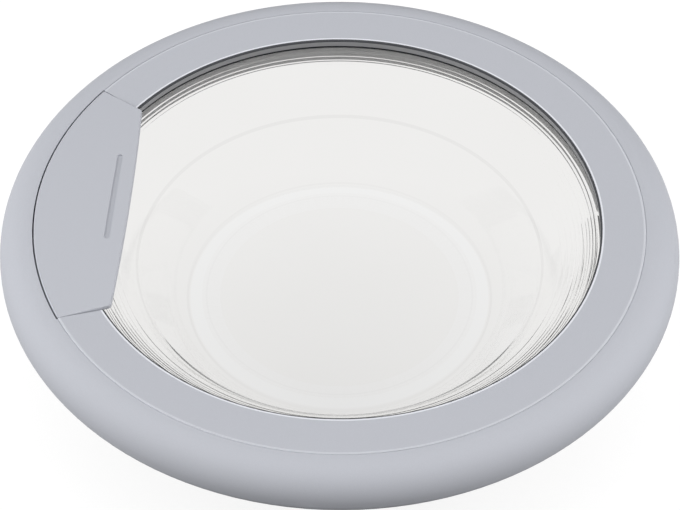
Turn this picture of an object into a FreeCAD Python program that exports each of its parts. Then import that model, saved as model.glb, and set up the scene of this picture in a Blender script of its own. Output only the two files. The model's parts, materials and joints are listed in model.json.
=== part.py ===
import FreeCAD, Part
import math
import os

# Washing machine door, lying on its glass bowl with the front face up (+Z).
# The handle is at -X and the hinge at +X. All lengths are in mm and angles in degrees.
# A depth is measured down from the plane of the front face.

# Front ring
OUTER_RADIUS = 225.0
SHOULDER_WIDTH = 23.6
SHOULDER_DROP = 21.6
SHOULDER_ROUND = 20.5
SKIRT_HEIGHT = 1.5
SKIRT_DRAFT = 0.4
FACE_WIDTH = 29.5
FACE_DIP = 2.5
FACE_EDGE_ROUND = 0.5
STEP_DEPTH = 0.3
SEAM_WIDTH = 0.4
SEAM_DEPTH = 0.6
FRAME_WALL = 2.8
LIP_HEIGHT = 6.5
LIP_DRAFT = 0.8
LIP_EDGE_ROUND = 1.2
FOOT_WIDTH = 9.0
FOOT_THICKNESS = 2.4

# Glass bowl, measured on the inside
GLASS_WALL = 5.0
GASKET_THICKNESS = 1.2
GASKET_WIDTH = 6.5
GASKET_INSET = 0.6
FLANGE_COVER = 14.0
FLANGE_EDGE_ROUND = 1.2
THROAT_INSET = 2.0
THROAT_ROUND = 6.0
WAIST_INSET = 34.5
WAIST_DEPTH = 43.0
WAIST_ROUND = 30.0
FOOT_INSET = 26.0
BOWL_DEPTH = 80.0
BOWL_FOOT_ROUND = 16.0
PUNT_RADIUS = 82.0
PUNT_RISE = 1.5

# Rear ring
REAR_PLATE = 2.5
REAR_OVERLAP = 3.6
REAR_EDGE_GAP = 0.8
REAR_UPSTAND = 3.0
REAR_WALL = 2.2
SEAT_INSET = 7.5
FLANGE_PLAY = 0.5
LOCATING_RISE = 4.6
RIB_THICKNESS = 1.6
RIB_HEIGHT = 5.0
RIB_ANGLES = (34, 45, 56, 79, 90, 101, 124, 135, 146)

# Screws that close the two rings
FRAME_SCREW_COUNT = 8
FRAME_SCREW_INSET = 13.0
FRAME_SCREW_RADIUS = 1.9
FRAME_SCREW_LENGTH = 16.0
FRAME_BOSS_RADIUS = 4.2
SCREW_HEAD_RADIUS = 3.8
SCREW_HEAD_HEIGHT = 2.4
SCREW_HOLE_PLAY = 0.3
SCREW_HEAD_CHAMFER = 1.1
DRIVE_RADIUS = 1.4
DRIVE_DEPTH = 1.3
DRIVE_SIDES = 6

# Handle panel
HANDLE_HALF_ANGLE = 32.5
HANDLE_NEAR_ANGLE = 30.5
HANDLE_OVERHANG = 30.6
HANDLE_BOW = 1.7
SWING_GAP = 1.0
PANEL_SKIN = 1.9
PANEL_RIM_DEPTH = 3.2
PANEL_RIM_WALL = 2.0
PANEL_EDGE_ROUND = 0.9
PANEL_INNER_CORNER = 3.0
PANEL_OUTER_CORNER = 1.5
GROOVE_SETBACK = 11.5
GROOVE_LENGTH = 78.0
GROOVE_WIDTH = 3.6
GROOVE_DEPTH = 0.9
GROOVE_OFFSET = 6.3
PANEL_RIB_COUNT = 4
PANEL_RIB_SPACING = 38.0
PANEL_RIB_THICKNESS = 1.6
PANEL_RIB_LENGTH = 40.0

# Handle pivot
PIVOT_INSET = 7.0
PIVOT_DEPTH = 4.8
HANDLE_PIN_RADIUS = 1.75
RUNNING_PLAY = 0.05
EAR_RADIUS = 3.4
EAR_START = 16.0
EAR_WIDTH = 4.0
EAR_SIDE_GAP = 0.5
BLOCK_WIDTH = 5.0
BLOCK_RADIUS = 2.6
WELL_FLOOR_DROP = 5.4
WELL_WALL = 2.0
WELL_END_GAP = 3.0
WALL_GAP = 0.5
TAIL_THICKNESS = 3.8
TAIL_HALF_WIDTH = 7.0
TAIL_TIP_DEPTH = 13.5
TAIL_FACE_INSET = 2.3

# Latch hook and its bracket
HOOK_PIVOT_INSET = 7.2
HOOK_HEAD_GAP = 0.3
HOOK_HALF_WIDTH = 4.0
HOOK_HUB_RADIUS = 4.4
HOOK_ARM_THICKNESS = 3.0
HOOK_ARM_TOP = 9.5
HOOK_SHANK_WIDTH = 7.0
HOOK_TIP_DEPTH = 64.0
HOOK_NOSE_REACH = 8.0
HOOK_NOSE_HEIGHT = 9.0
HOOK_NOSE_SLOPE = 5.0
HOOK_PIN_RADIUS = 2.0
HOOK_PIN_HEAD = 3.2
HOOK_PIN_HEAD_HEIGHT = 1.0
HOOK_CONTACT_GAP = 0.3
HOOK_SLOT_PLAY = 4.0
HOOK_SLOT_SIDE = 2.0
BRACKET_SHEET = 2.0
BRACKET_INNER_HALF = 10.0
BRACKET_HALF_LENGTH = 27.0
BRACKET_OUTER_REACH = 12.0
BRACKET_INNER_REACH = 4.6
CHEEK_RADIUS = 4.6
BRACKET_SCREW_SPACING = 40.0
BRACKET_SCREW_RADIUS = 1.9
BRACKET_SCREW_LENGTH = 5.2

# Torsion springs
HANDLE_SPRING_WIRE = 0.35
HANDLE_SPRING_COIL = 2.35
HANDLE_SPRING_TURNS = 4.25
HANDLE_SPRING_START = 9.0
HANDLE_SPRING_LEG = 3.0
HANDLE_SPRING_ANGLE = 0.0
HOOK_SPRING_WIRE = 0.45
HOOK_SPRING_COIL = 3.0
HOOK_SPRING_TURNS = 3.5
HOOK_SPRING_LEG = 5.0
HOOK_SPRING_ANGLE = 270.0
HOOK_LUG_HEIGHT = 1.2
HOOK_LUG_WIDTH = 1.6
COIL_GAP = 0.12
SPRING_SIDE_GAP = 0.4

# Hinge
HINGE_AXIS_INSET = 13.0
HINGE_AXIS_DROP = 4.0
KNUCKLE_RADIUS = 6.0
HINGE_PIN_RADIUS = 2.5
HINGE_PIN_HEAD_RADIUS = 4.2
HINGE_PIN_HEAD_HEIGHT = 1.6
HINGE_PIN_TAIL = 2.6
CLIP_RADIUS = 5.2
CLIP_THICKNESS = 0.8
BUSH_WALL = 1.3
BUSH_LENGTH = 14.0
BUSH_FLANGE = 1.0
BUSH_FLANGE_RADIUS = 5.2
LEAF_KNUCKLE_HALF = 18.0
KNUCKLE_GAP = 0.4
ARM_WIDTH = 13.0
LEAF_THICKNESS = 3.0
LEAF_WIDTH = 25.0
LEAF_HALF_LENGTH = 46.0
LEAF_CORNER = 5.0
LEAF_SCREW_EDGE = 7.0
LEAF_SCREW_END = 9.0
LEAF_SCREW_RADIUS = 2.1
LEAF_SCREW_HEAD = 4.0
LEAF_SCREW_LENGTH = 11.0
LEAF_BOSS_WALL = 2.2
NOTCH_GAP = 0.6
PLATE_DROP = 15.0
PLATE_THICKNESS = 4.0
PLATE_SETBACK = 14.0
PLATE_WIDTH = 20.0
PLATE_HALF_LENGTH = 46.0
PLATE_CORNER = 6.0
PLATE_HOLE_RADIUS = 2.75
PLATE_HOLE_SPACING = 78.0
ARM_ROOT_WIDTH = 9.0

# Radii that follow from the ring's sizes
STEP_RADIUS = OUTER_RADIUS - SHOULDER_WIDTH
FACE_RADIUS = STEP_RADIUS - SEAM_WIDTH
OPENING_RADIUS = FACE_RADIUS - FACE_WIDTH
LIP_FOOT_RADIUS = OPENING_RADIUS + LIP_DRAFT
LIP_OUTER_RADIUS = OPENING_RADIUS + FRAME_WALL
FOOT_RADIUS = LIP_FOOT_RADIUS + FOOT_WIDTH
FLANGE_RADIUS = OPENING_RADIUS + FLANGE_COVER
THROAT_RADIUS = OPENING_RADIUS + THROAT_INSET
WAIST_RADIUS = OPENING_RADIUS - WAIST_INSET
BOWL_FOOT_RADIUS = WAIST_RADIUS - FOOT_INSET
LOCATING_RADIUS = FLANGE_RADIUS + FLANGE_PLAY
FRAME_SCREW_CIRCLE = OUTER_RADIUS - FRAME_SCREW_INSET

# Depths that follow from the ring's sizes
SHOULDER_BOTTOM = STEP_DEPTH + SHOULDER_DROP
SKIRT_BOTTOM = SHOULDER_BOTTOM + SKIRT_HEIGHT
LIP_BOTTOM = FACE_DIP + LIP_HEIGHT
FOOT_TOP = LIP_BOTTOM - FOOT_THICKNESS
FLANGE_TOP = LIP_BOTTOM + GASKET_THICKNESS
FLANGE_BOTTOM = FLANGE_TOP + GLASS_WALL
REAR_FACE = SKIRT_BOTTOM + REAR_OVERLAP
REAR_INSIDE = REAR_FACE - REAR_PLATE
WELL_FLOOR = FOOT_TOP + WELL_FLOOR_DROP
BRACKET_TOP = REAR_INSIDE - BRACKET_SHEET
HOOK_PIVOT_DEPTH = BRACKET_TOP - HOOK_PIN_HEAD - HOOK_HEAD_GAP
FACE_Z = BOWL_DEPTH + GLASS_WALL

# Places on the handle side, as distances from the door's centre
PANEL_RADIUS = FACE_RADIUS
SWING_RADIUS = PANEL_RADIUS + SWING_GAP
PIVOT_X = -(PANEL_RADIUS - PIVOT_INSET)
HOOK_X = -(PANEL_RADIUS - HOOK_PIVOT_INSET)
CHORD_END = OPENING_RADIUS - HANDLE_OVERHANG
CHORD_MIDDLE = CHORD_END - HANDLE_BOW
TAIL_FACE = PIVOT_X - TAIL_FACE_INSET
BLOCK_START = EAR_START + EAR_WIDTH + EAR_SIDE_GAP
HANDLE_PIN_HALF = BLOCK_START + BLOCK_WIDTH
WELL_HALF = HANDLE_PIN_HALF + WELL_END_GAP
WELL_INNER = LOCATING_RADIUS + REAR_WALL + WALL_GAP + WELL_WALL

# Places on the hinge side
AXIS_X = OUTER_RADIUS - HINGE_AXIS_INSET
AXIS_DEPTH = REAR_FACE + HINGE_AXIS_DROP
ARM_START = LEAF_KNUCKLE_HALF + BUSH_FLANGE + KNUCKLE_GAP
ARM_END = ARM_START + ARM_WIDTH
NOTCH_HALF = ARM_END + HINGE_PIN_TAIL + NOTCH_GAP
LEAF_EDGE = AXIS_X - KNUCKLE_RADIUS - NOTCH_GAP
PLATE_EDGE = AXIS_X - PLATE_SETBACK
PLATE_BOTTOM = AXIS_DEPTH + PLATE_DROP
PLATE_TOP = PLATE_BOTTOM - PLATE_THICKNESS
BUSH_RADIUS = HINGE_PIN_RADIUS + RUNNING_PLAY + BUSH_WALL

# Edges closer than this to a place count as lying on it
NEAR = 0.01

UP = FreeCAD.Vector(0, 0, 1)
ORIGIN = FreeCAD.Vector(0, 0, 0)


def level(depth):
    return FACE_Z - depth


def at(radius, depth):
    return FreeCAD.Vector(radius, 0, level(depth))


# Sections: lists of (radius, depth) turned into edges, faces and turned solids
def lines(points):
    ends = zip(points, points[1:])
    return [Part.makeLine(at(*a), at(*b)) for a, b in ends]


def unit(a, b):
    dx = b[0] - a[0]
    dy = b[1] - a[1]
    length = math.hypot(dx, dy)
    return dx / length, dy / length


def rounded(points, radii):
    """Edges along the points, with a tangent arc of the given radius at each inner point."""
    edges = []
    last = points[0]
    for before, here, after, radius in zip(points, points[1:], points[2:], radii):
        to_before = unit(here, before)
        to_after = unit(here, after)
        half = math.acos(to_before[0] * to_after[0] + to_before[1] * to_after[1]) / 2
        reach = radius / math.tan(half)
        middle = unit((0, 0), (to_before[0] + to_after[0], to_before[1] + to_after[1]))
        depth = radius / math.sin(half) - radius
        start = (here[0] + to_before[0] * reach, here[1] + to_before[1] * reach)
        crown = (here[0] + middle[0] * depth, here[1] + middle[1] * depth)
        end = (here[0] + to_after[0] * reach, here[1] + to_after[1] * reach)
        edges.append(Part.makeLine(at(*last), at(*start)))
        edges.append(Part.Arc(at(*start), at(*crown), at(*end)).toShape())
        last = end
    edges.append(Part.makeLine(at(*last), at(*points[-1])))
    return edges


def moved_out(points, distance):
    """The same chain of points, moved sideways by the distance, for the far side of a wall."""
    shifted = []
    for a, b in zip(points, points[1:]):
        ux, uy = unit(a, b)
        side = (uy * distance, -ux * distance)
        shifted.append(((a[0] + side[0], a[1] + side[1]), (ux, uy)))
    result = [shifted[0][0]]
    for (p, u), (q, w) in zip(shifted, shifted[1:]):
        cross = u[0] * w[1] - u[1] * w[0]
        step = ((q[0] - p[0]) * w[1] - (q[1] - p[1]) * w[0]) / cross
        result.append((p[0] + u[0] * step, p[1] + u[1] * step))
    last_point, last_way = shifted[-1]
    length = math.dist(points[-2], points[-1])
    result.append((last_point[0] + last_way[0] * length, last_point[1] + last_way[1] * length))
    return result


def face_of(edges):
    return Part.Face(Part.Wire(Part.__sortEdges__(edges)))


def turned(edges):
    return face_of(edges).revolve(ORIGIN, UP, 360)


def turned_polygon(points):
    return turned(lines(points + points[:1]))


# Plain solids placed by x, y and depth
def block(x0, x1, y0, y1, depth_top, depth_bottom):
    corner = FreeCAD.Vector(min(x0, x1), min(y0, y1), level(depth_bottom))
    return Part.makeBox(abs(x1 - x0), abs(y1 - y0), depth_bottom - depth_top, corner)


def post(x, y, radius, depth_top, depth_bottom):
    return Part.makeCylinder(
        radius, depth_bottom - depth_top, FreeCAD.Vector(x, y, level(depth_bottom)), UP
    )


def rod(x, depth, radius, y0, y1):
    """A cylinder along Y."""
    start = FreeCAD.Vector(x, y0, level(depth))
    return Part.makeCylinder(radius, y1 - y0, start, FreeCAD.Vector(0, 1, 0))


def slab(outline, y0, y1):
    """A closed outline of (x, depth) points, extruded along Y."""
    points = [FreeCAD.Vector(x, y0, level(depth)) for x, depth in outline]
    face = Part.Face(Part.makePolygon(points + points[:1]))
    return face.extrude(FreeCAD.Vector(0, y1 - y0, 0))


def sector(inner, outer, half_angle, depth_top, depth_bottom):
    """A piece of a flat ring, centred on the handle's side."""
    z = level(depth_bottom)

    def on(radius, angle):
        turn = math.radians(180 + angle)
        return FreeCAD.Vector(radius * math.cos(turn), radius * math.sin(turn), z)

    edges = [
        Part.Arc(on(outer, -half_angle), on(outer, 0), on(outer, half_angle)).toShape(),
        Part.makeLine(on(outer, half_angle), on(inner, half_angle)),
        Part.Arc(on(inner, half_angle), on(inner, 0), on(inner, -half_angle)).toShape(),
        Part.makeLine(on(inner, -half_angle), on(outer, -half_angle)),
    ]
    return face_of(edges).extrude(FreeCAD.Vector(0, 0, depth_bottom - depth_top))


def joined(shapes):
    return shapes[0].fuse(shapes[1:]).removeSplitter()


def round_posts(shape, radius, wanted):
    """Rounds the upright edges whose middle passes the wanted test."""
    found = []
    for edge in shape.Edges:
        low, high = edge.BoundBox.ZMin, edge.BoundBox.ZMax
        middle = edge.BoundBox.Center
        upright = edge.BoundBox.XLength < NEAR and edge.BoundBox.YLength < NEAR
        if upright and high - low > NEAR and wanted(middle):
            found.append(edge)
    return shape.makeFillet(radius, found)


def screw_angles():
    step = 360.0 / FRAME_SCREW_COUNT
    return [step * (i + 0.5) for i in range(FRAME_SCREW_COUNT)]


def frame_screw_places():
    places = []
    for angle in screw_angles():
        turn = math.radians(angle)
        places.append((FRAME_SCREW_CIRCLE * math.cos(turn), FRAME_SCREW_CIRCLE * math.sin(turn)))
    return places


def bracket_screw_places():
    half = BRACKET_SCREW_SPACING / 2
    return [(HOOK_X, -half), (HOOK_X, half)]


def leaf_screw_places():
    columns = (LEAF_EDGE - LEAF_WIDTH + LEAF_SCREW_EDGE, LEAF_EDGE - LEAF_SCREW_EDGE)
    row = LEAF_HALF_LENGTH - LEAF_SCREW_END
    return [(x, y) for x in columns for y in (-row, row)]


def pan_screw(x, y, radius, length):
    """A pan-head screw driven up from the back face, with a six-sided drive."""
    head_end = REAR_FACE + SCREW_HEAD_HEIGHT
    edge = head_end - SCREW_HEAD_CHAMFER
    crown = Part.makeCone(
        SCREW_HEAD_RADIUS - SCREW_HEAD_CHAMFER,
        SCREW_HEAD_RADIUS,
        SCREW_HEAD_CHAMFER,
        FreeCAD.Vector(x, y, level(head_end)),
        UP,
    )
    head = post(x, y, SCREW_HEAD_RADIUS, REAR_FACE, edge)
    shank = post(x, y, radius, REAR_FACE - length, REAR_FACE)
    corners = []
    for i in range(DRIVE_SIDES):
        turn = math.radians(360 / DRIVE_SIDES * i)
        reach = FreeCAD.Vector(math.cos(turn), math.sin(turn), 0) * DRIVE_RADIUS
        corners.append(FreeCAD.Vector(x, y, level(head_end)) + reach)
    drive = Part.Face(Part.makePolygon(corners + corners[:1]))
    return joined([head, crown, shank]).cut(drive.extrude(UP * DRIVE_DEPTH))


# Front ring: a turned shell with the handle's pocket, the pivot well and the screw bosses
def shoulder(wall):
    """The ring's rounded shoulder from the step to the skirt, this far under its outer skin."""
    side = OUTER_RADIUS - wall
    top = STEP_DEPTH + wall
    return rounded(
        [(STEP_RADIUS, top), (side, top), (side, SHOULDER_BOTTOM)], [SHOULDER_ROUND - wall]
    )


def front_shell():
    skin_in = OUTER_RADIUS - FRAME_WALL
    edges = rounded(
        [
            (LIP_FOOT_RADIUS, LIP_BOTTOM),
            (OPENING_RADIUS, FACE_DIP),
            (FACE_RADIUS, 0),
            (FACE_RADIUS, SEAM_DEPTH),
        ],
        [LIP_EDGE_ROUND, FACE_EDGE_ROUND],
    )
    edges += lines(
        [(FACE_RADIUS, SEAM_DEPTH), (STEP_RADIUS, SEAM_DEPTH), (STEP_RADIUS, STEP_DEPTH)]
    )
    edges += shoulder(0)
    edges += lines(
        [
            (OUTER_RADIUS, SHOULDER_BOTTOM),
            (OUTER_RADIUS - SKIRT_DRAFT, SKIRT_BOTTOM),
            (skin_in - SKIRT_DRAFT, SKIRT_BOTTOM),
            (skin_in, SHOULDER_BOTTOM),
        ]
    )
    edges += shoulder(FRAME_WALL)
    edges += lines(
        [
            (STEP_RADIUS, STEP_DEPTH + FRAME_WALL),
            (LIP_OUTER_RADIUS, FACE_DIP + FRAME_WALL),
            (LIP_OUTER_RADIUS, FOOT_TOP),
            (FOOT_RADIUS, FOOT_TOP),
            (FOOT_RADIUS, LIP_BOTTOM),
            (LIP_FOOT_RADIUS, LIP_BOTTOM),
        ]
    )
    return turned(edges)


def under_skin():
    """The space under the ring's skin, up to the middle of its wall, for bosses and walls to reach."""
    half = FRAME_WALL / 2
    skin = OUTER_RADIUS - half
    inner = LIP_FOOT_RADIUS
    edges = lines(
        [
            (skin, SHOULDER_BOTTOM),
            (skin, REAR_FACE),
            (inner, REAR_FACE),
            (inner, FACE_DIP + half),
            (STEP_RADIUS, STEP_DEPTH + half),
        ]
    )
    return turned(edges + shoulder(half))


def pivot_block(y0):
    width = 2 * BLOCK_RADIUS
    y1 = y0 + BLOCK_WIDTH
    left = PIVOT_X - BLOCK_RADIUS
    base = block(left, left + width, y0, y1, PIVOT_DEPTH, WELL_FLOOR)
    return base.fuse(rod(PIVOT_X, PIVOT_DEPTH, BLOCK_RADIUS, y0, y1))


def front_frame():
    walls_angle = HANDLE_HALF_ANGLE + math.degrees((SWING_GAP + FRAME_WALL) / FACE_RADIUS)
    wall_radius = SWING_RADIUS + FRAME_WALL
    space = under_skin()
    walls = sector(LIP_FOOT_RADIUS, wall_radius, walls_angle, 0, LIP_BOTTOM)
    well_outside = block(
        -wall_radius - FRAME_WALL,
        -(WELL_INNER - WELL_WALL),
        -WELL_HALF - WELL_WALL,
        WELL_HALF + WELL_WALL,
        FOOT_TOP,
        WELL_FLOOR + WELL_WALL,
    )
    well_outside = well_outside.common(post(0, 0, wall_radius, 0, REAR_FACE))
    bosses = []
    for x, y in frame_screw_places():
        boss = post(x, y, FRAME_BOSS_RADIUS, 0, REAR_INSIDE)
        bosses.append(boss.common(space))
    ring = joined([front_shell(), walls.common(space), well_outside] + bosses)

    well = block(-wall_radius, -WELL_INNER, -WELL_HALF, WELL_HALF, PIVOT_DEPTH, WELL_FLOOR)
    well = well.common(post(0, 0, SWING_RADIUS, 0, REAR_FACE))
    ring = ring.cut([handle_pocket(), well, tail_slot()])
    blocks = [pivot_block(-HANDLE_PIN_HALF), pivot_block(BLOCK_START)]
    ring = joined([ring] + blocks)
    holes = [rod(PIVOT_X, PIVOT_DEPTH, HANDLE_PIN_RADIUS, -HANDLE_PIN_HALF, HANDLE_PIN_HALF)]
    for x, y in frame_screw_places():
        holes.append(post(x, y, FRAME_SCREW_RADIUS, REAR_FACE - FRAME_SCREW_LENGTH, REAR_FACE))
    return ring.cut(holes)


def handle_pocket():
    """The pocket around the handle's panel: a seam along its ends, and room to swing along its arc."""
    rise = UP * (FOOT_TOP + FRAME_WALL)
    close = panel_outline(FOOT_TOP).makeOffset2D(SEAM_WIDTH).extrude(rise)
    wide = panel_outline(FOOT_TOP).makeOffset2D(SWING_GAP).extrude(rise)
    along_arc = turned_polygon(
        [
            (FACE_RADIUS, -FRAME_WALL),
            (SWING_RADIUS, -FRAME_WALL),
            (SWING_RADIUS, FOOT_TOP),
            (FACE_RADIUS, FOOT_TOP),
        ]
    )
    return close.fuse(wide.common(along_arc))


def tail_slot():
    """The cut in the well's floor for the handle's tail and the hook's upper arm."""
    half = TAIL_HALF_WIDTH + WALL_GAP
    outer = TAIL_FACE - TAIL_THICKNESS - WALL_GAP
    return block(outer, -WELL_INNER, -half, half, FOOT_TOP, WELL_FLOOR + 2 * WELL_WALL)


# Rear ring: back plate with seat and locating walls for the glass, upstands, ribs and bosses
def rear_frame():
    outer = OUTER_RADIUS - FRAME_WALL - SKIRT_DRAFT - REAR_EDGE_GAP
    seat = FLANGE_RADIUS - SEAT_INSET
    plate = turned_polygon(
        [(seat, REAR_INSIDE), (outer, REAR_INSIDE), (outer, REAR_FACE), (seat, REAR_FACE)]
    )

    def ring_wall(radius, top):
        return turned_polygon(
            [
                (radius, top),
                (radius + REAR_WALL, top),
                (radius + REAR_WALL, REAR_FACE),
                (radius, REAR_FACE),
            ]
        )

    upstand_top = REAR_INSIDE - REAR_UPSTAND
    locating_top = FLANGE_BOTTOM - LOCATING_RISE
    walls = [
        ring_wall(outer - REAR_WALL, upstand_top),
        ring_wall(seat, FLANGE_BOTTOM),
        ring_wall(LOCATING_RADIUS, locating_top),
    ]
    bosses = []
    for x, y in leaf_screw_places():
        radius = LEAF_SCREW_RADIUS + LEAF_BOSS_WALL
        bosses.append(post(x, y, radius, REAR_FACE + LEAF_THICKNESS - LEAF_SCREW_LENGTH, REAR_FACE))
    ribs = []
    for angle in RIB_ANGLES:
        rib = block(
            LOCATING_RADIUS + REAR_WALL / 2,
            outer - REAR_WALL / 2,
            -RIB_THICKNESS / 2,
            RIB_THICKNESS / 2,
            REAR_INSIDE - RIB_HEIGHT,
            REAR_INSIDE + REAR_PLATE / 2,
        )
        for side in (angle, -angle):
            ribs.append(rib.rotated(ORIGIN, UP, side))
    ring = joined([plate] + walls + bosses + rib_ends(ribs, outer))

    half = HOOK_HALF_WIDTH + HOOK_SLOT_SIDE
    shank = HOOK_SHANK_WIDTH / 2
    cuts = [
        block(
            HOOK_X - shank - HOOK_SLOT_PLAY,
            HOOK_X + shank + HOOK_SLOT_SIDE / 2,
            -half,
            half,
            REAR_INSIDE - REAR_PLATE,
            REAR_FACE + REAR_PLATE,
        ),
        block(
            LEAF_EDGE,
            OUTER_RADIUS,
            -NOTCH_HALF,
            NOTCH_HALF,
            upstand_top - REAR_PLATE,
            REAR_FACE + REAR_PLATE,
        ),
    ]
    for x, y in frame_screw_places():
        cuts.append(post(x, y, FRAME_SCREW_RADIUS + SCREW_HOLE_PLAY, REAR_INSIDE, REAR_FACE))
    for x, y in bracket_screw_places():
        cuts.append(post(x, y, BRACKET_SCREW_RADIUS + SCREW_HOLE_PLAY, REAR_INSIDE, REAR_FACE))
    for x, y in leaf_screw_places():
        cuts.append(
            post(x, y, LEAF_SCREW_RADIUS, REAR_FACE + LEAF_THICKNESS - LEAF_SCREW_LENGTH, REAR_FACE)
        )
    return ring.cut(cuts)


def rib_ends(ribs, outer):
    """Ribs trimmed at their outer end so that they slope down to the outer upstand."""
    slope = turned_polygon(
        [
            (outer - RIB_HEIGHT - REAR_WALL, REAR_INSIDE - RIB_HEIGHT - REAR_PLATE),
            (outer + REAR_WALL, REAR_INSIDE - RIB_HEIGHT - REAR_PLATE),
            (outer + REAR_WALL, REAR_INSIDE - REAR_UPSTAND + REAR_WALL),
            (outer - REAR_WALL, REAR_INSIDE - REAR_UPSTAND),
        ]
    )
    return [rib.cut(slope) for rib in ribs]


# Glass bowl: one wall along a chain of points, with a raised centre in its foot
def door_glass():
    inside = [
        (FLANGE_RADIUS, FLANGE_TOP),
        (THROAT_RADIUS, FLANGE_TOP),
        (WAIST_RADIUS, WAIST_DEPTH),
        (BOWL_FOOT_RADIUS, BOWL_DEPTH),
        (PUNT_RADIUS, BOWL_DEPTH),
        (0, BOWL_DEPTH - PUNT_RISE),
    ]
    outside = moved_out(inside, GLASS_WALL)
    outside[-1] = (0, BOWL_DEPTH - PUNT_RISE + GLASS_WALL)
    near_rounds = [THROAT_ROUND, WAIST_ROUND, BOWL_FOOT_ROUND, BOWL_FOOT_ROUND]
    far_rounds = [THROAT_ROUND, WAIST_ROUND, BOWL_FOOT_ROUND + GLASS_WALL, BOWL_FOOT_ROUND]
    edges = rounded(inside, near_rounds) + rounded(outside, far_rounds)
    edges += lines([inside[0], outside[0]])
    edges += lines([inside[-1], outside[-1]])
    bowl = turned(edges)
    rim = [
        e
        for e in bowl.Edges
        if abs(e.BoundBox.XMax - FLANGE_RADIUS) < NEAR and e.BoundBox.ZLength < NEAR
    ]
    return bowl.makeFillet(FLANGE_EDGE_ROUND, rim)


def glass_gasket():
    inner = LIP_FOOT_RADIUS + GASKET_INSET
    outer = inner + GASKET_WIDTH
    return turned_polygon(
        [(inner, LIP_BOTTOM), (outer, LIP_BOTTOM), (outer, FLANGE_TOP), (inner, FLANGE_TOP)]
    )


# Handle: a shallow shell with a rim, a finger groove, ribs, two pivot ears and the release tail
def panel_outline(depth):
    """The panel's outline at this depth: an arc along the ring, two ends and a bowed inner edge."""
    z = level(depth)

    def on_ring(angle):
        turn = math.radians(angle)
        return FreeCAD.Vector(-PANEL_RADIUS * math.cos(turn), PANEL_RADIUS * math.sin(turn), z)

    inner_half = CHORD_END * math.tan(math.radians(HANDLE_HALF_ANGLE))
    far_outer = on_ring(HANDLE_HALF_ANGLE)
    near_outer = on_ring(-HANDLE_NEAR_ANGLE)
    far_inner = FreeCAD.Vector(-CHORD_END, inner_half, z)
    near_inner = FreeCAD.Vector(-CHORD_END, -inner_half, z)
    edges = [
        Part.Arc(near_outer, on_ring(0), far_outer).toShape(),
        Part.makeLine(far_outer, far_inner),
        Part.Arc(far_inner, FreeCAD.Vector(-CHORD_MIDDLE, 0, z), near_inner).toShape(),
        Part.makeLine(near_inner, near_outer),
    ]
    return face_of(edges)


def groove():
    half = GROOVE_LENGTH / 2 - GROOVE_WIDTH / 2
    x = -(CHORD_MIDDLE + GROOVE_SETBACK)
    radius = GROOVE_WIDTH / 2
    low, high = GROOVE_OFFSET - half, GROOVE_OFFSET + half
    ends = [post(x, y, radius, -GROOVE_DEPTH, GROOVE_DEPTH) for y in (low, high)]
    middle = block(x - radius, x + radius, low, high, -GROOVE_DEPTH, GROOVE_DEPTH)
    return joined([middle] + ends)


def pivot_ear(y0):
    y1 = y0 + EAR_WIDTH
    web = block(PIVOT_X - EAR_RADIUS, PIVOT_X + EAR_RADIUS, y0, y1, PANEL_SKIN / 2, PIVOT_DEPTH)
    return web.fuse(rod(PIVOT_X, PIVOT_DEPTH, EAR_RADIUS, y0, y1))


def release_tail():
    radius = TAIL_THICKNESS / 2
    middle = TAIL_FACE - radius
    tip = TAIL_TIP_DEPTH - radius
    stem = block(
        middle - radius, middle + radius, -TAIL_HALF_WIDTH, TAIL_HALF_WIDTH, PANEL_SKIN / 2, tip
    )
    return stem.fuse(rod(middle, tip, radius, -TAIL_HALF_WIDTH, TAIL_HALF_WIDTH))


def handle():
    outline = panel_outline(PANEL_RIM_DEPTH)
    panel = outline.extrude(UP * PANEL_RIM_DEPTH)
    middle_radius = (PANEL_RADIUS + CHORD_END) / 2

    def at_inner_end(p):
        return math.hypot(p.x, p.y) < middle_radius

    panel = round_posts(panel, PANEL_INNER_CORNER, at_inner_end)
    panel = round_posts(
        panel, PANEL_OUTER_CORNER, lambda p: math.hypot(p.x, p.y) > PANEL_RADIUS - NEAR
    )
    bottom = [f for f in panel.Faces if f.BoundBox.ZMax < level(PANEL_RIM_DEPTH) + NEAR][0]
    hollow_outline = bottom.makeOffset2D(-PANEL_RIM_WALL)
    top_edges = [e for e in panel.Edges if e.BoundBox.ZMin > level(0) - NEAR]
    panel = panel.makeFillet(PANEL_EDGE_ROUND, top_edges)
    hollow = hollow_outline.extrude(UP * (PANEL_RIM_DEPTH - PANEL_SKIN))
    panel = panel.cut([hollow, groove()])

    rib_start = -(CHORD_END + PANEL_RIM_WALL / 2)
    ribs = []
    for i in range(PANEL_RIB_COUNT):
        y = (i - (PANEL_RIB_COUNT - 1) / 2) * PANEL_RIB_SPACING
        ribs.append(
            block(
                rib_start - PANEL_RIB_LENGTH,
                rib_start,
                y - PANEL_RIB_THICKNESS / 2,
                y + PANEL_RIB_THICKNESS / 2,
                PANEL_SKIN / 2,
                PANEL_RIM_DEPTH,
            )
        )
    ears = [pivot_ear(EAR_START), pivot_ear(-EAR_START - EAR_WIDTH)]
    panel = joined([panel] + ribs + ears + [release_tail()])
    bore = HANDLE_PIN_RADIUS + RUNNING_PLAY
    return panel.cut([rod(PIVOT_X, PIVOT_DEPTH, bore, -HANDLE_PIN_HALF, HANDLE_PIN_HALF)])


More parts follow.
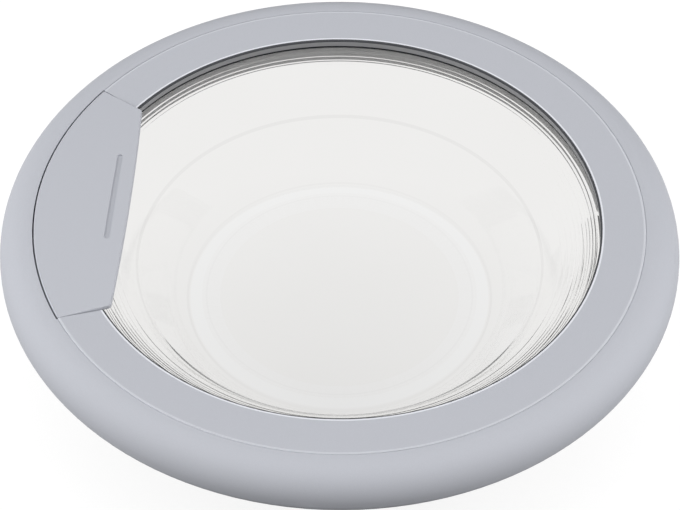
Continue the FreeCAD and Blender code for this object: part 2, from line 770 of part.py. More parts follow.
# Latch hook: arm, hub, shank and sloped nose in one profile
def hook_outline():
    half = HOOK_SHANK_WIDTH / 2
    arm = TAIL_FACE + HOOK_CONTACT_GAP
    left = HOOK_X - half
    right = HOOK_X + half
    nose = right + HOOK_NOSE_REACH
    nose_top = HOOK_TIP_DEPTH - HOOK_NOSE_HEIGHT
    return [
        (arm, HOOK_ARM_TOP),
        (arm + HOOK_ARM_THICKNESS, HOOK_ARM_TOP),
        (arm + HOOK_ARM_THICKNESS, HOOK_PIVOT_DEPTH - HOOK_HUB_RADIUS / 2),
        (right, HOOK_PIVOT_DEPTH),
        (right, nose_top - HOOK_NOSE_SLOPE / 2),
        (right + HOOK_NOSE_SLOPE / 2, nose_top),
        (nose, nose_top),
        (nose, nose_top + HOOK_NOSE_SLOPE / 2),
        (right, HOOK_TIP_DEPTH),
        (left + HOOK_NOSE_SLOPE / 2, HOOK_TIP_DEPTH),
        (left, HOOK_TIP_DEPTH - HOOK_NOSE_SLOPE),
        (left, HOOK_PIVOT_DEPTH),
        (arm, HOOK_PIVOT_DEPTH - HOOK_HUB_RADIUS / 2),
    ]


def latch_hook():
    plate = slab(hook_outline(), -HOOK_HALF_WIDTH, HOOK_HALF_WIDTH)
    hub_start = -BRACKET_INNER_HALF + SPRING_SIDE_GAP
    hub = rod(HOOK_X, HOOK_PIVOT_DEPTH, HOOK_HUB_RADIUS, hub_start, HOOK_HALF_WIDTH)
    lug_bottom = HOOK_PIVOT_DEPTH + HOOK_SPRING_LEG
    lug = block(
        HOOK_X - HOOK_SPRING_COIL + HOOK_SPRING_WIRE + RUNNING_PLAY,
        HOOK_X + HOOK_SHANK_WIDTH / 2,
        0,
        HOOK_HALF_WIDTH + HOOK_LUG_WIDTH,
        lug_bottom - HOOK_LUG_HEIGHT,
        lug_bottom,
    )
    bore = rod(
        HOOK_X,
        HOOK_PIVOT_DEPTH,
        HOOK_PIN_RADIUS + RUNNING_PLAY,
        -BRACKET_INNER_HALF,
        BRACKET_INNER_HALF,
    )
    return joined([plate, hub, lug]).cut(bore)


# Hook bracket: a bent sheet with two cheeks and an open middle
def hook_bracket():
    outside = BRACKET_INNER_HALF + BRACKET_SHEET
    outer = HOOK_X - BRACKET_OUTER_REACH
    inner = HOOK_X + BRACKET_INNER_REACH
    base = block(
        outer, inner, -BRACKET_HALF_LENGTH, BRACKET_HALF_LENGTH, BRACKET_TOP, REAR_INSIDE
    )
    cheeks = []
    for y0 in (-outside, BRACKET_INNER_HALF):
        y1 = y0 + BRACKET_SHEET
        foot = block(
            HOOK_X - CHEEK_RADIUS, HOOK_X + CHEEK_RADIUS, y0, y1, HOOK_PIVOT_DEPTH, REAR_INSIDE
        )
        cheeks.append(foot.fuse(rod(HOOK_X, HOOK_PIVOT_DEPTH, CHEEK_RADIUS, y0, y1)))
    sheet = joined([base] + cheeks)
    cuts = [
        block(
            HOOK_X - HOOK_SHANK_WIDTH / 2 - HOOK_SLOT_PLAY,
            inner + BRACKET_SHEET,
            -BRACKET_INNER_HALF,
            BRACKET_INNER_HALF,
            BRACKET_TOP - BRACKET_SHEET,
            REAR_FACE,
        ),
        rod(HOOK_X, HOOK_PIVOT_DEPTH, HOOK_PIN_RADIUS, -outside, outside),
    ]
    for x, y in bracket_screw_places():
        cuts.append(post(x, y, BRACKET_SCREW_RADIUS, BRACKET_TOP, REAR_INSIDE))
    return sheet.cut(cuts)


def hook_pin():
    side = BRACKET_INNER_HALF + BRACKET_SHEET
    end = side + HOOK_PIN_HEAD_HEIGHT
    return joined(
        [
            rod(HOOK_X, HOOK_PIVOT_DEPTH, HOOK_PIN_RADIUS, -end, end),
            rod(HOOK_X, HOOK_PIVOT_DEPTH, HOOK_PIN_HEAD, side, end),
            rod(HOOK_X, HOOK_PIVOT_DEPTH, HOOK_PIN_HEAD, -end, -side),
        ]
    )


def handle_pin():
    return rod(PIVOT_X, PIVOT_DEPTH, HANDLE_PIN_RADIUS, -HANDLE_PIN_HALF, HANDLE_PIN_HALF)


# Torsion springs: a coil of square wire along Y, with a straight leg off each end
def torsion_spring(x, depth, y, coil, wire, turns, start_angle, first_leg, last_leg):
    pitch = 2 * wire + COIL_GAP
    rise = pitch / (2 * math.pi * coil)
    last_turn = math.radians(360 * turns)
    start = FreeCAD.Vector(coil, 0, 0)
    end = FreeCAD.Vector(coil * math.cos(last_turn), coil * math.sin(last_turn), pitch * turns)
    way_in = FreeCAD.Vector(0, 1, rise).normalize()
    way_out = FreeCAD.Vector(-math.sin(last_turn), math.cos(last_turn), rise).normalize()
    tip = start - way_in * first_leg
    path = [Part.makeLine(tip, start)]
    path += Part.makeHelix(pitch, pitch * turns, coil).Edges
    path.append(Part.makeLine(end, end + way_out * last_leg))
    side = way_in.cross(FreeCAD.Vector(1, 0, 0)) * wire
    across = FreeCAD.Vector(wire, 0, 0)
    corners = [tip + across + side, tip - across + side, tip - across - side, tip + across - side]
    profile = Part.makePolygon(corners + corners[:1])
    spring = Part.Wire(path).makePipeShell([profile], True, True)
    spring.rotate(ORIGIN, UP, start_angle)
    place = FreeCAD.Matrix()
    place.A11, place.A12, place.A13, place.A14 = 0, 1, 0, x
    place.A21, place.A22, place.A23, place.A24 = 0, 0, 1, y
    place.A31, place.A32, place.A33, place.A34 = 1, 0, 0, level(depth)
    return spring.transformed(place)


def handle_spring():
    floor_leg = WELL_FLOOR - PIVOT_DEPTH - RUNNING_PLAY
    return torsion_spring(
        PIVOT_X,
        PIVOT_DEPTH,
        HANDLE_SPRING_START,
        HANDLE_SPRING_COIL,
        HANDLE_SPRING_WIRE,
        HANDLE_SPRING_TURNS,
        HANDLE_SPRING_ANGLE,
        HANDLE_SPRING_LEG,
        floor_leg,
    )


def hook_spring():
    floor_leg = REAR_INSIDE - HOOK_PIVOT_DEPTH - RUNNING_PLAY
    return torsion_spring(
        HOOK_X,
        HOOK_PIVOT_DEPTH,
        HOOK_HALF_WIDTH + HOOK_SPRING_WIRE + SPRING_SIDE_GAP,
        HOOK_SPRING_COIL,
        HOOK_SPRING_WIRE,
        HOOK_SPRING_TURNS,
        HOOK_SPRING_ANGLE,
        HOOK_SPRING_LEG,
        floor_leg,
    )


# Hinge leaf on the back of the rear ring, with its knuckle
def hinge_leaf():
    half = LEAF_HALF_LENGTH
    bottom = REAR_FACE + LEAF_THICKNESS
    plate = block(LEAF_EDGE - LEAF_WIDTH, LEAF_EDGE, -half, half, REAR_FACE, bottom)
    plate = round_posts(plate, LEAF_CORNER, lambda p: True)
    knuckle_top = AXIS_DEPTH - KNUCKLE_RADIUS
    knuckle_bottom = AXIS_DEPTH + KNUCKLE_RADIUS
    web = slab(
        [
            (LEAF_EDGE - KNUCKLE_RADIUS, REAR_FACE),
            (LEAF_EDGE, REAR_FACE),
            (AXIS_X, knuckle_top),
            (AXIS_X, knuckle_bottom),
            (LEAF_EDGE, bottom),
            (LEAF_EDGE - KNUCKLE_RADIUS, bottom),
        ],
        -LEAF_KNUCKLE_HALF,
        LEAF_KNUCKLE_HALF,
    )
    eye = rod(AXIS_X, AXIS_DEPTH, KNUCKLE_RADIUS, -LEAF_KNUCKLE_HALF, LEAF_KNUCKLE_HALF)
    leaf = joined([plate, web, eye])
    cuts = [rod(AXIS_X, AXIS_DEPTH, BUSH_RADIUS, -LEAF_KNUCKLE_HALF, LEAF_KNUCKLE_HALF)]
    cuts += [leaf_screw(x, y) for x, y in leaf_screw_places()]
    return leaf.cut(cuts)


def leaf_screw(x, y):
    """A countersunk screw, its head flush with the leaf."""
    bottom = REAR_FACE + LEAF_THICKNESS
    cone_height = LEAF_SCREW_HEAD - LEAF_SCREW_RADIUS
    head = Part.makeCone(
        LEAF_SCREW_HEAD, LEAF_SCREW_RADIUS, cone_height, FreeCAD.Vector(x, y, level(bottom)), UP
    )
    return head.fuse(post(x, y, LEAF_SCREW_RADIUS, bottom - LEAF_SCREW_LENGTH, bottom))


def leaf_screw_driven(x, y):
    bottom = REAR_FACE + LEAF_THICKNESS
    drive = post(x, y, DRIVE_RADIUS, bottom - DRIVE_DEPTH, bottom)
    return leaf_screw(x, y).removeSplitter().cut(drive)


# Hinge plate on the machine's front, with two arms up to the axis
def hinge_plate():
    left = PLATE_EDGE - PLATE_WIDTH
    half = PLATE_HALF_LENGTH
    plate = block(left, PLATE_EDGE, -half, half, PLATE_TOP, PLATE_BOTTOM)
    plate = round_posts(plate, PLATE_CORNER, lambda p: True)
    outline = [
        (AXIS_X - KNUCKLE_RADIUS, AXIS_DEPTH),
        (PLATE_EDGE - ARM_ROOT_WIDTH, PLATE_TOP),
        (PLATE_EDGE - ARM_ROOT_WIDTH, PLATE_BOTTOM),
        (PLATE_EDGE, PLATE_BOTTOM),
        (AXIS_X, AXIS_DEPTH + KNUCKLE_RADIUS),
        (AXIS_X, AXIS_DEPTH),
    ]
    arms = []
    for y0 in (-ARM_END, ARM_START):
        y1 = y0 + ARM_WIDTH
        arms.append(slab(outline, y0, y1))
        arms.append(rod(AXIS_X, AXIS_DEPTH, KNUCKLE_RADIUS, y0, y1))
    holes = [rod(AXIS_X, AXIS_DEPTH, HINGE_PIN_RADIUS, -ARM_END, ARM_END)]
    middle = left + PLATE_WIDTH / 2
    for y in (-PLATE_HOLE_SPACING / 2, PLATE_HOLE_SPACING / 2):
        holes.append(post(middle, y, PLATE_HOLE_RADIUS, PLATE_TOP, PLATE_BOTTOM))
    return joined([plate] + arms).cut(holes)


def hinge_pin():
    head_end = -ARM_END - HINGE_PIN_HEAD_HEIGHT
    return joined(
        [
            rod(AXIS_X, AXIS_DEPTH, HINGE_PIN_RADIUS, head_end, ARM_END + HINGE_PIN_TAIL),
            rod(AXIS_X, AXIS_DEPTH, HINGE_PIN_HEAD_RADIUS, head_end, -ARM_END),
        ]
    )


def hinge_pin_clip():
    washer = rod(AXIS_X, AXIS_DEPTH, CLIP_RADIUS, ARM_END, ARM_END + CLIP_THICKNESS)
    return washer.cut(
        rod(AXIS_X, AXIS_DEPTH, HINGE_PIN_RADIUS, ARM_END, ARM_END + CLIP_THICKNESS)
    )


def hinge_bush(side):
    """A flanged bush pushed into one end of the leaf's knuckle; side is 1 or -1 along Y."""
    end = LEAF_KNUCKLE_HALF
    low = sorted((side * (end - BUSH_LENGTH), side * end))
    flange = sorted((side * end, side * (end + BUSH_FLANGE)))
    sleeve = rod(AXIS_X, AXIS_DEPTH, BUSH_RADIUS, low[0], low[1])
    collar = rod(AXIS_X, AXIS_DEPTH, BUSH_FLANGE_RADIUS, flange[0], flange[1])
    reach = end + BUSH_FLANGE
    bore = rod(AXIS_X, AXIS_DEPTH, HINGE_PIN_RADIUS + RUNNING_PLAY, -reach, reach)
    return joined([sleeve, collar]).cut(bore)


def frame_screws():
    places = frame_screw_places()
    return [pan_screw(x, y, FRAME_SCREW_RADIUS, FRAME_SCREW_LENGTH) for x, y in places]


def hook_bracket_screws():
    places = bracket_screw_places()
    return [pan_screw(x, y, BRACKET_SCREW_RADIUS, BRACKET_SCREW_LENGTH) for x, y in places]


NODES = {
    "front_frame": front_frame(),
    "rear_frame": rear_frame(),
    "door_glass": door_glass(),
    "glass_gasket": glass_gasket(),
    "handle": handle(),
    "handle_pin": handle_pin(),
    "handle_spring": handle_spring(),
    "latch_hook": latch_hook(),
    "hook_bracket": hook_bracket(),
    "hook_pin": hook_pin(),
    "hook_spring": hook_spring(),
    "hook_bracket_screws": Part.makeCompound(hook_bracket_screws()),
    "frame_screws": Part.makeCompound(frame_screws()),
    "hinge_leaf": hinge_leaf(),
    "hinge_leaf_screws": Part.makeCompound([leaf_screw_driven(x, y) for x, y in leaf_screw_places()]),
    "hinge_plate": hinge_plate(),
    "hinge_pin": hinge_pin(),
    "hinge_pin_clip": hinge_pin_clip(),
    "hinge_bush_far": hinge_bush(1),
    "hinge_bush_near": hinge_bush(-1),
}

os.makedirs("parts", exist_ok=True)
for name, shape in NODES.items():
    shape.exportStep("parts/" + name + ".step")
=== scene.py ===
import json
import math

import bmesh
import bpy
from mathutils import Matrix, Vector

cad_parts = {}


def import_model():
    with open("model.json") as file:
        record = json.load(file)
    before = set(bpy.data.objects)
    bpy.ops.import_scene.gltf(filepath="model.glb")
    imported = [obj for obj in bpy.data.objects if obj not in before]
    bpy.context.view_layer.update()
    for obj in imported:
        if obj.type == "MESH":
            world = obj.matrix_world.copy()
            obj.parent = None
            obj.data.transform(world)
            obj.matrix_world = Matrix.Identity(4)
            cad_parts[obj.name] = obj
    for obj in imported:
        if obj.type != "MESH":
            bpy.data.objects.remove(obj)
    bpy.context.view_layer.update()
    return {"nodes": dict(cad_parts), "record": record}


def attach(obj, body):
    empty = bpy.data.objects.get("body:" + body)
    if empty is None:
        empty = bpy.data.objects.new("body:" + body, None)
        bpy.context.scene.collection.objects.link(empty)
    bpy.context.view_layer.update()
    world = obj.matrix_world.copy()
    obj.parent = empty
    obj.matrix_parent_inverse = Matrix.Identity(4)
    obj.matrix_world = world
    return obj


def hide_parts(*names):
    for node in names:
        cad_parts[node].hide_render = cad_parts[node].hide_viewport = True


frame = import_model()

# Lengths are in metres

# Camera, as measured in the photograph: focal length in pixels of a 680 pixel wide picture
PICTURE_WIDTH = 680
FOCAL_PIXELS = 2013.0
SENSOR_MM = 36.0
CAMERA_DISTANCE = 1.3
CAMERA_ELEVATION = math.radians(47.25)
CAMERA_TURN = math.radians(2.2)
CAMERA_ROLL = math.radians(0.35)
CAMERA_TARGET = Vector((0.00175, -0.04036, 0.085))

# Glass bowl: inside line from the flange to the middle, as radius and height, and its corners' rounds
GLASS_LINE = [
    (0.1855, 0.0748),
    (0.1735, 0.0748),
    (0.137, 0.042),
    (0.111, 0.005),
    (0.082, 0.005),
    (0, 0.0065),
]
GLASS_ROUNDS = [0.006, 0.060, 0.016, 0.016]
GLASS_WALL = 0.005
GLASS_RIM_ROUND = 0.0012
GLASS_SEGMENTS = 256
ROUND_STEPS = 8

# Place in GLASS_ROUNDS of the foot's corner, which is rounder on the outside by the wall
FOOT_CORNER = 2

# Points nearer to the axis than this are on it
ON_AXIS = 1e-6

# Pressed rings on the inside of the bowl, below its flange: radius, rise and half width of each
RINGS = [
    (0.1702, 0.0006, 0.0008),
    (0.1682, 0.0004, 0.0007),
    (0.1662, 0.0002, 0.0005),
    (0.1645, 0.0002, 0.0005),
    (0.1624, 0.0004, 0.0008),
    (0.1598, 0.0002, 0.0005),
    (0.1574, 0.0002, 0.0005),
    (0.1548, 0.0001, 0.0005),
    (0.1518, 0.0001, 0.0005),
    (0.1480, 0.0001, 0.0005),
]
RING_STEPS = 8

# Painted highlight and shade around the bowl's foot, a light band between two dark lines: inner and outer
# radius, and colour
FOOT_HIGHLIGHT_AND_SHADE_LINES = [
    (0.1035, 0.1052, (0.93, 0.924, 0.914, 1)),
    (0.0945, 0.1025, (1, 1, 0.992, 1)),
    (0.0908, 0.092, (0.94, 0.934, 0.924, 1)),
]

# Painted shade line around the bowl's waist, on the inside of the glass: spans of radius and height, and
# colour
WAIST_SHADE_RADII = (0.1358, 0.1374)
WAIST_SHADE_HEIGHTS = (0.038, 0.046)
WAIST_SHADE_COLOUR = (0.87, 0.865, 0.855, 1)

# Wall of the opening below the painted face of the ring, painted dark grey as shade, and a painted black
# shadow line at its foot beside the seal
LIP_RADIUS = 0.1736
LIP_TOP = 0.0812
LIP_SHADE_COLOUR = (0.3, 0.302, 0.312, 1)
SEAL_SHADOW_TOP = 0.077
SEAL_SHADOW_COLOUR = (0.015, 0.017, 0.02, 1)

# Edges of the ring's face: painted shade on the opening's rim, a painted highlight around it, and a
# painted highlight on the crease to the shoulder
RIM_SHADE_RADIUS = 0.1729
RIM_SHADE_COLOUR = (0.06, 0.062, 0.068, 1)
EDGE_HIGHLIGHT_RADIUS = 0.1741
EDGE_HIGHLIGHT_COLOUR = (0.72, 0.735, 0.78, 1)
CREASE_HIGHLIGHT_RADII = (0.1994, 0.2009)
CREASE_HIGHLIGHT_COLOUR = (0.555, 0.568, 0.61, 1)

# Darkest and lightest colour of the paint, the rubber and the glass
SILVER_COLOURS = ((0.448, 0.46, 0.5), (0.486, 0.498, 0.54))
RUBBER_COLOURS = ((0.012, 0.014, 0.017), (0.02, 0.022, 0.026))
GLASS_COLOURS = ((0.972, 0.965, 0.953), (0.98, 0.974, 0.963))

# Moulded plastics by slot: name, darkest and lightest colour
PLASTICS = {
    "rear_grey": ("rear_plastic", (0.8, 0.805, 0.82), (0.85, 0.855, 0.87)),
    "bush_plastic": ("bush_plastic", (0.03, 0.03, 0.033), (0.05, 0.05, 0.053)),
}

# Metals by slot: name, darkest and lightest colour, lowest and highest roughness, strength of the grain
METALS = {
    "plain_steel": ("plated_steel", (0.52, 0.52, 0.53), (0.62, 0.62, 0.62), 0.28, 0.4, 0.08),
    "hook_steel": ("satin_steel", (0.46, 0.46, 0.48), (0.54, 0.54, 0.56), 0.32, 0.45, 0.1),
    "screw_steel": ("screw_zinc", (0.5, 0.5, 0.5), (0.6, 0.6, 0.6), 0.26, 0.38, 0.06),
    "hinge_alloy": ("blasted_alloy", (0.45, 0.46, 0.47), (0.53, 0.54, 0.55), 0.5, 0.62, 0.3),
}

# Depth of the fine grain, and the span that most of the noise's values keep to
GRAIN_DEPTH = 0.0001
METAL_GRAIN_DEPTH = 0.00008
NOISE_LOW = 0.3
NOISE_HIGH = 0.7
NOISE_DETAIL = 4.0

# Glass: how strongly it bends light, and the share of its mirror image that is left, as on coated glass
GLASS_IOR = 1.5
GLASS_MIRROR = (0.15, 0.15, 0.15, 1)

# Faces that meet at less than this angle are shaded as one surface
SMOOTH_ANGLE = math.radians(28)

# Colour sockets of a Mix node, by number because its other sockets have the same names
MIX_UNDER = 6
MIX_OVER = 7
MIX_RESULT = 2

# Floor: its own grey, which takes the shadow, and its glow, as seen and as glimpsed in gloss or glass
FLOOR_SIZE = 6.0
FLOOR_ROUGHNESS = 0.9
FLOOR_BASE = 0.12
FLOOR_SEEN = 0.93
FLOOR_GLIMPSED = 0.88

# The floor is a little darker under the near half of the bowl: middle, reach and share that is left
SHADE_MIDDLE = (0, -0.12, 0)
SHADE_REACH = 0.24
SHADE_LEFT = 0.87

# White surroundings: the light that they give, and their brightness as seen and as glimpsed
WHITE = (1, 1, 1, 1)
WORLD_LIGHT = 0.1
WORLD_SEEN = 1
WORLD_GLIMPSED = 0.9

# Soft lamps: name, place, length of an edge and power in watts, and the point that all of them face
LAMPS = [
    ("key_lamp", (0, -0.25, 1.8), 2.4, 18),
    ("left_lamp", (-1.6, -0.35, 0.8), 1.6, 32),
    ("right_lamp", (1.6, -0.35, 0.8), 1.6, 29),
]
LAMP_AIM = Vector((0, 0, 0.06))


# Nodes of a material or of the world

def add_node(made, kind, inputs=None, **settings):
    """A new node with these settings, and these values on its sockets by name or number."""
    node = made.node_tree.nodes.new(kind)
    for name, value in settings.items():
        setattr(node, name, value)
    for socket, value in (inputs or {}).items():
        node.inputs[socket].default_value = value
    return node


def link(made, source, target):
    made.node_tree.links.new(source, target)


def computed(made, operation, first, second):
    """The result of a Math node on a socket and on another socket or a number."""
    node = add_node(made, "ShaderNodeMath", operation=operation)
    link(made, first, node.inputs[0])
    if isinstance(second, (int, float)):
        node.inputs[1].default_value = second
    else:
        link(made, second, node.inputs[1])
    return node.outputs["Value"]


def below(made, value, limit):
    """A mask that is 1 where the value is under the limit."""
    return computed(made, "LESS_THAN", value, limit)


def between(made, value, low, high):
    """A mask that is 1 where the value is from the low limit up to the high one."""
    return computed(made, "SUBTRACT", below(made, value, high), below(made, value, low))


def both(made, first, second):
    """A mask that is 1 where two masks are."""
    return computed(made, "MULTIPLY", first, second)


def looks(made, seen, glimpsed):
    """A strength for rays that look, from the camera or by way of gloss or glass, and 0 for other rays."""
    path = add_node(made, "ShaderNodeLightPath")
    total = computed(made, "MULTIPLY", path.outputs["Is Camera Ray"], seen)
    for name in ("Is Glossy Ray", "Is Transmission Ray"):
        strength = computed(made, "MULTIPLY", path.outputs[name], glimpsed)
        total = computed(made, "MAXIMUM", total, strength)
    return total


# Materials

def shader_of(made):
    return made.node_tree.nodes["Principled BSDF"]


def new_material(name, sockets):
    """A material with one Principled shader and these constant values on its sockets."""
    made = bpy.data.materials.new(name)
    made.use_nodes = True
    for socket, value in sockets.items():
        shader_of(made).inputs[socket].default_value = value
    return made


def noise(made, scale):
    """Noise in object coordinates, so that its grain has a real size."""
    place = add_node(made, "ShaderNodeTexCoord")
    grain = add_node(made, "ShaderNodeTexNoise", {"Scale": scale, "Detail": NOISE_DETAIL})
    link(made, place.outputs["Object"], grain.inputs["Vector"])
    return grain.outputs["Fac"]


def vary_colour(made, dark, light, scale):
    ramp = add_node(made, "ShaderNodeValToRGB")
    stops = zip(ramp.color_ramp.elements, (NOISE_LOW, NOISE_HIGH), (dark, light))
    for stop, place, colour in stops:
        stop.position = place
        stop.color = (*colour, 1)
    link(made, noise(made, scale), ramp.inputs["Fac"])
    link(made, ramp.outputs["Color"], shader_of(made).inputs["Base Color"])


def vary_roughness(made, low, high, scale):
    ends = {"From Min": NOISE_LOW, "From Max": NOISE_HIGH, "To Min": low, "To Max": high}
    span = add_node(made, "ShaderNodeMapRange", ends)
    link(made, noise(made, scale), span.inputs["Value"])
    link(made, span.outputs["Result"], shader_of(made).inputs["Roughness"])


def add_grain(made, scale, strength, depth=GRAIN_DEPTH):
    bump = add_node(made, "ShaderNodeBump", {"Strength": strength, "Distance": depth})
    link(made, noise(made, scale), bump.inputs["Height"])
    link(made, bump.outputs["Normal"], shader_of(made).inputs["Normal"])


def position(made):
    """Distance from the door's middle axis, and height."""
    place = add_node(made, "ShaderNodeTexCoord")
    flat = add_node(made, "ShaderNodeVectorMath", {1: (1, 1, 0)}, operation="MULTIPLY")
    reach = add_node(made, "ShaderNodeVectorMath", operation="LENGTH")
    height = add_node(made, "ShaderNodeSeparateXYZ")
    link(made, place.outputs["Object"], flat.inputs[0])
    link(made, flat.outputs["Vector"], reach.inputs[0])
    link(made, place.outputs["Object"], height.inputs["Vector"])
    return reach.outputs["Value"], height.outputs["Z"]


def paint_over(made, mask, colour):
    """Gives the masked part of the surface a colour of its own."""
    socket = shader_of(made).inputs["Base Color"]
    under = socket.links[0].from_socket
    mix = add_node(made, "ShaderNodeMix", {MIX_OVER: colour}, data_type="RGBA")
    link(made, mask, mix.inputs["Factor"])
    link(made, under, mix.inputs[MIX_UNDER])
    link(made, mix.outputs[MIX_RESULT], socket)


def silver_paint(name):
    made = new_material(name, {"Metallic": 0.05, "Specular IOR Level": 0.2})
    vary_colour(made, *SILVER_COLOURS, scale=2600)
    vary_roughness(made, low=0.5, high=0.58, scale=900)
    add_grain(made, scale=2200, strength=0.06)
    return made


def ring_paint_with_painted_light():
    """Silver paint with painted highlights on the crease and the opening's edge, and painted shade on the
    rim, the wall and the foot of the wall around the opening.
    """
    made = silver_paint("ring_paint_with_painted_light")
    radius, height = position(made)
    at_lip = below(made, radius, LIP_RADIUS)
    # Painted highlights on the crease and the opening's edge, painted shade on the rim and the wall below
    # the face, and a painted shadow line at the wall's foot
    layers = [
        (between(made, radius, *CREASE_HIGHLIGHT_RADII), CREASE_HIGHLIGHT_COLOUR),
        (between(made, radius, RIM_SHADE_RADIUS, EDGE_HIGHLIGHT_RADIUS), EDGE_HIGHLIGHT_COLOUR),
        (below(made, radius, RIM_SHADE_RADIUS), RIM_SHADE_COLOUR),
        (both(made, at_lip, below(made, height, LIP_TOP)), LIP_SHADE_COLOUR),
        (both(made, at_lip, below(made, height, SEAL_SHADOW_TOP)), SEAL_SHADOW_COLOUR),
    ]
    for mask, colour in layers:
        paint_over(made, mask, colour)
    return made


def moulded_plastic(name, dark, light):
    made = new_material(name, {"Specular IOR Level": 0.4})
    vary_colour(made, dark, light, scale=300)
    vary_roughness(made, low=0.48, high=0.6, scale=700)
    add_grain(made, scale=1800, strength=0.12)
    return made


def rubber():
    made = new_material("seal_rubber", {"Specular IOR Level": 0.3})
    vary_colour(made, *RUBBER_COLOURS, scale=500)
    vary_roughness(made, low=0.6, high=0.75, scale=400)
    add_grain(made, scale=1200, strength=0.15)
    return made


def metal(name, dark, light, low, high, grain):
    made = new_material(name, {"Metallic": 1.0})
    vary_colour(made, dark, light, scale=250)
    vary_roughness(made, low, high, scale=600)
    add_grain(made, scale=1500, strength=grain, depth=METAL_GRAIN_DEPTH)
    return made


def clear_glass():
    """Clear glass with painted highlight and shade lines around its foot and a painted shade line around
    its waist.
    """
    sockets = {
        "Transmission Weight": 1.0,
        "IOR": GLASS_IOR,
        "Roughness": 0.0,
        "Specular Tint": GLASS_MIRROR,
    }
    made = new_material("clear_glass", sockets)
    vary_colour(made, *GLASS_COLOURS, scale=12)
    radius, height = position(made)
    # Painted highlight and shade lines around the foot
    for inside, outside, colour in FOOT_HIGHLIGHT_AND_SHADE_LINES:
        paint_over(made, between(made, radius, inside, outside), colour)
    # Painted shade line around the waist
    at_waist = between(made, radius, *WAIST_SHADE_RADII)
    on_inside = between(made, height, *WAIST_SHADE_HEIGHTS)
    paint_over(made, both(made, at_waist, on_inside), WAIST_SHADE_COLOUR)
    return made


SLOT_MATERIALS = {
    "ring_silver": silver_paint("silver_paint"),
    "bowl_glass": clear_glass(),
    "seal_black": rubber(),
}
for slot, finish in PLASTICS.items():
    SLOT_MATERIALS[slot] = moulded_plastic(*finish)
for slot, finish in METALS.items():
    SLOT_MATERIALS[slot] = metal(*finish)

# Nodes whose finish differs from the rest of their slot
NODE_MATERIALS = {"front_frame": ring_paint_with_painted_light()}


def dress(obj, material):
    obj.data.materials.clear()
    obj.data.materials.append(material)
    obj.data.shade_smooth()
    obj.data.set_sharp_from_angle(angle=SMOOTH_ANGLE)


for part in frame["record"]["subparts"]:
    node, slot = part["node"], part["material_slot"]
    dress(frame["nodes"][node], NODE_MATERIALS.get(node, SLOT_MATERIALS[slot]))


# Glass bowl as a finely turned mesh

def unit(a, b):
    """The direction from one point to another."""
    length = math.dist(a, b)
    return (b[0] - a[0]) / length, (b[1] - a[1]) / length


def along(point, direction, distance):
    return point[0] + direction[0] * distance, point[1] + direction[1] * distance


def moved_out(points, distance):
    """The chain of points moved sideways, towards the outside of the bowl."""
    sides = []
    for a, b in zip(points, points[1:]):
        ux, uz = unit(a, b)
        sides.append((along(a, (-uz, ux), distance), (ux, uz)))
    moved = [sides[0][0]]
    for (p, u), (q, w) in zip(sides, sides[1:]):
        cross = u[0] * w[1] - u[1] * w[0]
        step = ((q[0] - p[0]) * w[1] - (q[1] - p[1]) * w[0]) / cross
        moved.append(along(p, u, step))
    moved.append((0, points[-1][1] - distance))
    return moved


def rounded(points, rounds):
    """The chain of points with a fine tangent arc in place of each inner corner."""
    result = [points[0]]
    for before, here, after, radius in zip(points, points[1:], points[2:], rounds):
        to_before = unit(here, before)
        to_after = unit(here, after)
        half = math.acos(to_before[0] * to_after[0] + to_before[1] * to_after[1]) / 2
        reach = radius / math.tan(half)
        middle = unit((0, 0), (to_before[0] + to_after[0], to_before[1] + to_after[1]))
        centre = along(here, middle, radius / math.sin(half))
        start = along(here, to_before, reach)
        end = along(here, to_after, reach)
        first = math.atan2(start[1] - centre[1], start[0] - centre[0])
        turn = math.atan2(end[1] - centre[1], end[0] - centre[0]) - first
        turn = (turn + math.pi) % (2 * math.pi) - math.pi
        for i in range(ROUND_STEPS + 1):
            angle = first + turn * i / ROUND_STEPS
            result.append(along(centre, (math.cos(angle), math.sin(angle)), radius))
    result.append(points[-1])
    return result


def pressed_ring(a, b, middle, rise, half):
    """The points of one ring on the slope from a to b."""
    ux, uz = unit(a, b)
    result = []
    for i in range(RING_STEPS + 1):
        share = i / RING_STEPS
        radius = middle + half * (1 - 2 * share)
        height = a[1] + (radius - a[0]) * (b[1] - a[1]) / (b[0] - a[0])
        lift = rise * (0.5 - 0.5 * math.cos(2 * math.pi * share))
        result.append(along((radius, height), (uz, -ux), lift))
    return result


def with_rings(points):
    """The inside line with the rings on its long slope."""
    result = []
    for a, b in zip(points, points[1:]):
        result.append(a)
        if a[0] > RINGS[0][0] and b[0] < RINGS[-1][0]:
            for ring in RINGS:
                result += pressed_ring(a, b, *ring)
    result.append(points[-1])
    return result


def turned_point(mesh, radius, height):
    """A point on the axis, or the circle that a point turns about it."""
    if radius < ON_AXIS:
        return [mesh.verts.new((0, 0, height))]
    circle = []
    for i in range(GLASS_SEGMENTS):
        angle = 2 * math.pi * i / GLASS_SEGMENTS
        circle.append(mesh.verts.new((radius * math.cos(angle), radius * math.sin(angle), height)))
    return circle


def lathe(name, outline):
    """A closed outline of (radius, height) points that starts and ends on the axis, turned about Z."""
    mesh = bmesh.new()
    rows = [turned_point(mesh, radius, height) for radius, height in outline]
    for row, following in zip(rows, rows[1:]):
        for i in range(GLASS_SEGMENTS):
            j = (i + 1) % GLASS_SEGMENTS
            if len(row) == 1:
                mesh.faces.new((row[0], following[i], following[j]))
            elif len(following) == 1:
                mesh.faces.new((row[i], following[0], row[j]))
            else:
                mesh.faces.new((row[i], following[i], following[j], row[j]))
    bmesh.ops.recalc_face_normals(mesh, faces=mesh.faces)
    data = bpy.data.meshes.new(name)
    mesh.to_mesh(data)
    mesh.free()
    made = bpy.data.objects.new(name, data)
    bpy.context.scene.collection.objects.link(made)
    return made


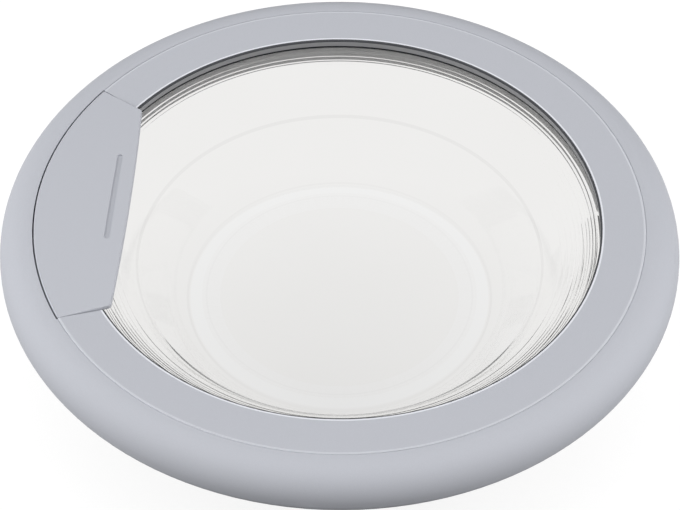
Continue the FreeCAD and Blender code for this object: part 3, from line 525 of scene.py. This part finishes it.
def glass_bowl():
    outside_line = moved_out(GLASS_LINE, GLASS_WALL)
    outer_rounds = list(GLASS_ROUNDS)
    outer_rounds[FOOT_CORNER] += GLASS_WALL
    rim_line = [GLASS_LINE[1], GLASS_LINE[0], outside_line[0], outside_line[1]]
    rim = rounded(rim_line, [GLASS_RIM_ROUND, GLASS_RIM_ROUND])[1:-1]
    inside = with_rings(rounded(GLASS_LINE, GLASS_ROUNDS))[1:]
    outside = rounded(outside_line, outer_rounds)[1:]
    bowl = lathe("glass_bowl", inside[::-1] + rim + outside)
    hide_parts("door_glass")
    dress(bowl, SLOT_MATERIALS["bowl_glass"])
    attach(bowl, "door")


glass_bowl()


# Floor, world, lamps and camera

def floor():
    bpy.ops.mesh.primitive_plane_add(size=FLOOR_SIZE)
    plane = bpy.context.object
    plane.name = "floor"
    sockets = {"Roughness": FLOOR_ROUGHNESS, "Specular IOR Level": 0.0, "Emission Color": WHITE}
    made = new_material("floor_white", sockets)
    path = add_node(made, "ShaderNodeLightPath")
    base = computed(made, "MULTIPLY", path.outputs["Is Camera Ray"], FLOOR_BASE)
    place = add_node(made, "ShaderNodeTexCoord")
    away = add_node(made, "ShaderNodeVectorMath", {1: SHADE_MIDDLE}, operation="DISTANCE")
    shade = add_node(made, "ShaderNodeMapRange", {"From Max": SHADE_REACH, "To Min": SHADE_LEFT})
    link(made, place.outputs["Object"], away.inputs[0])
    link(made, away.outputs["Value"], shade.inputs["Value"])
    glow = computed(made, "MULTIPLY", looks(made, FLOOR_SEEN, FLOOR_GLIMPSED), shade.outputs["Result"])
    link(made, base, shader_of(made).inputs["Base Color"])
    link(made, glow, shader_of(made).inputs["Emission Strength"])
    plane.data.materials.append(made)


def world():
    """White surroundings that give little light of their own."""
    made = bpy.data.worlds.new("studio")
    made.use_nodes = True
    nodes = made.node_tree.nodes
    light = nodes["Background"]
    light.inputs["Color"].default_value = WHITE
    light.inputs["Strength"].default_value = WORLD_LIGHT
    looked_at = add_node(made, "ShaderNodeBackground", {"Color": WHITE})
    mix = add_node(made, "ShaderNodeMixShader")
    link(made, looks(made, WORLD_SEEN, WORLD_GLIMPSED), mix.inputs["Fac"])
    for shader, socket in zip((light, looked_at), mix.inputs[1:]):
        link(made, shader.outputs["Background"], socket)
    link(made, mix.outputs["Shader"], nodes["World Output"].inputs["Surface"])
    bpy.context.scene.world = made


def softbox(name, place, size, power):
    """A square area lamp that faces the door and leaves no image of itself in gloss or glass."""
    data = bpy.data.lights.new(name, "AREA")
    data.size = size
    data.energy = power
    lamp = bpy.data.objects.new(name, data)
    lamp.location = place
    lamp.rotation_euler = (LAMP_AIM - Vector(place)).to_track_quat("-Z", "Y").to_euler()
    lamp.visible_glossy = False
    lamp.visible_transmission = False
    bpy.context.scene.collection.objects.link(lamp)


def camera():
    cosine, sine = math.cos(CAMERA_TURN), math.sin(CAMERA_TURN)
    flat, rise = math.cos(CAMERA_ELEVATION), math.sin(CAMERA_ELEVATION)
    back = Vector((sine * flat, -cosine * flat, rise))
    level = Vector((cosine, sine, 0))
    upright = back.cross(level)
    right = level * math.cos(CAMERA_ROLL) + upright * math.sin(CAMERA_ROLL)
    up = back.cross(right)
    data = bpy.data.cameras.new("camera")
    data.sensor_width = SENSOR_MM
    data.sensor_fit = "HORIZONTAL"
    data.lens = FOCAL_PIXELS / PICTURE_WIDTH * SENSOR_MM
    taker = bpy.data.objects.new("camera", data)
    turned = Matrix((right, up, back)).transposed().to_4x4()
    taker.matrix_world = Matrix.Translation(CAMERA_TARGET + back * CAMERA_DISTANCE) @ turned
    bpy.context.scene.collection.objects.link(taker)
    bpy.context.scene.camera = taker


floor()
world()
for lamp_values in LAMPS:
    softbox(*lamp_values)
camera()
bpy.context.scene.view_settings.view_transform = "Standard"
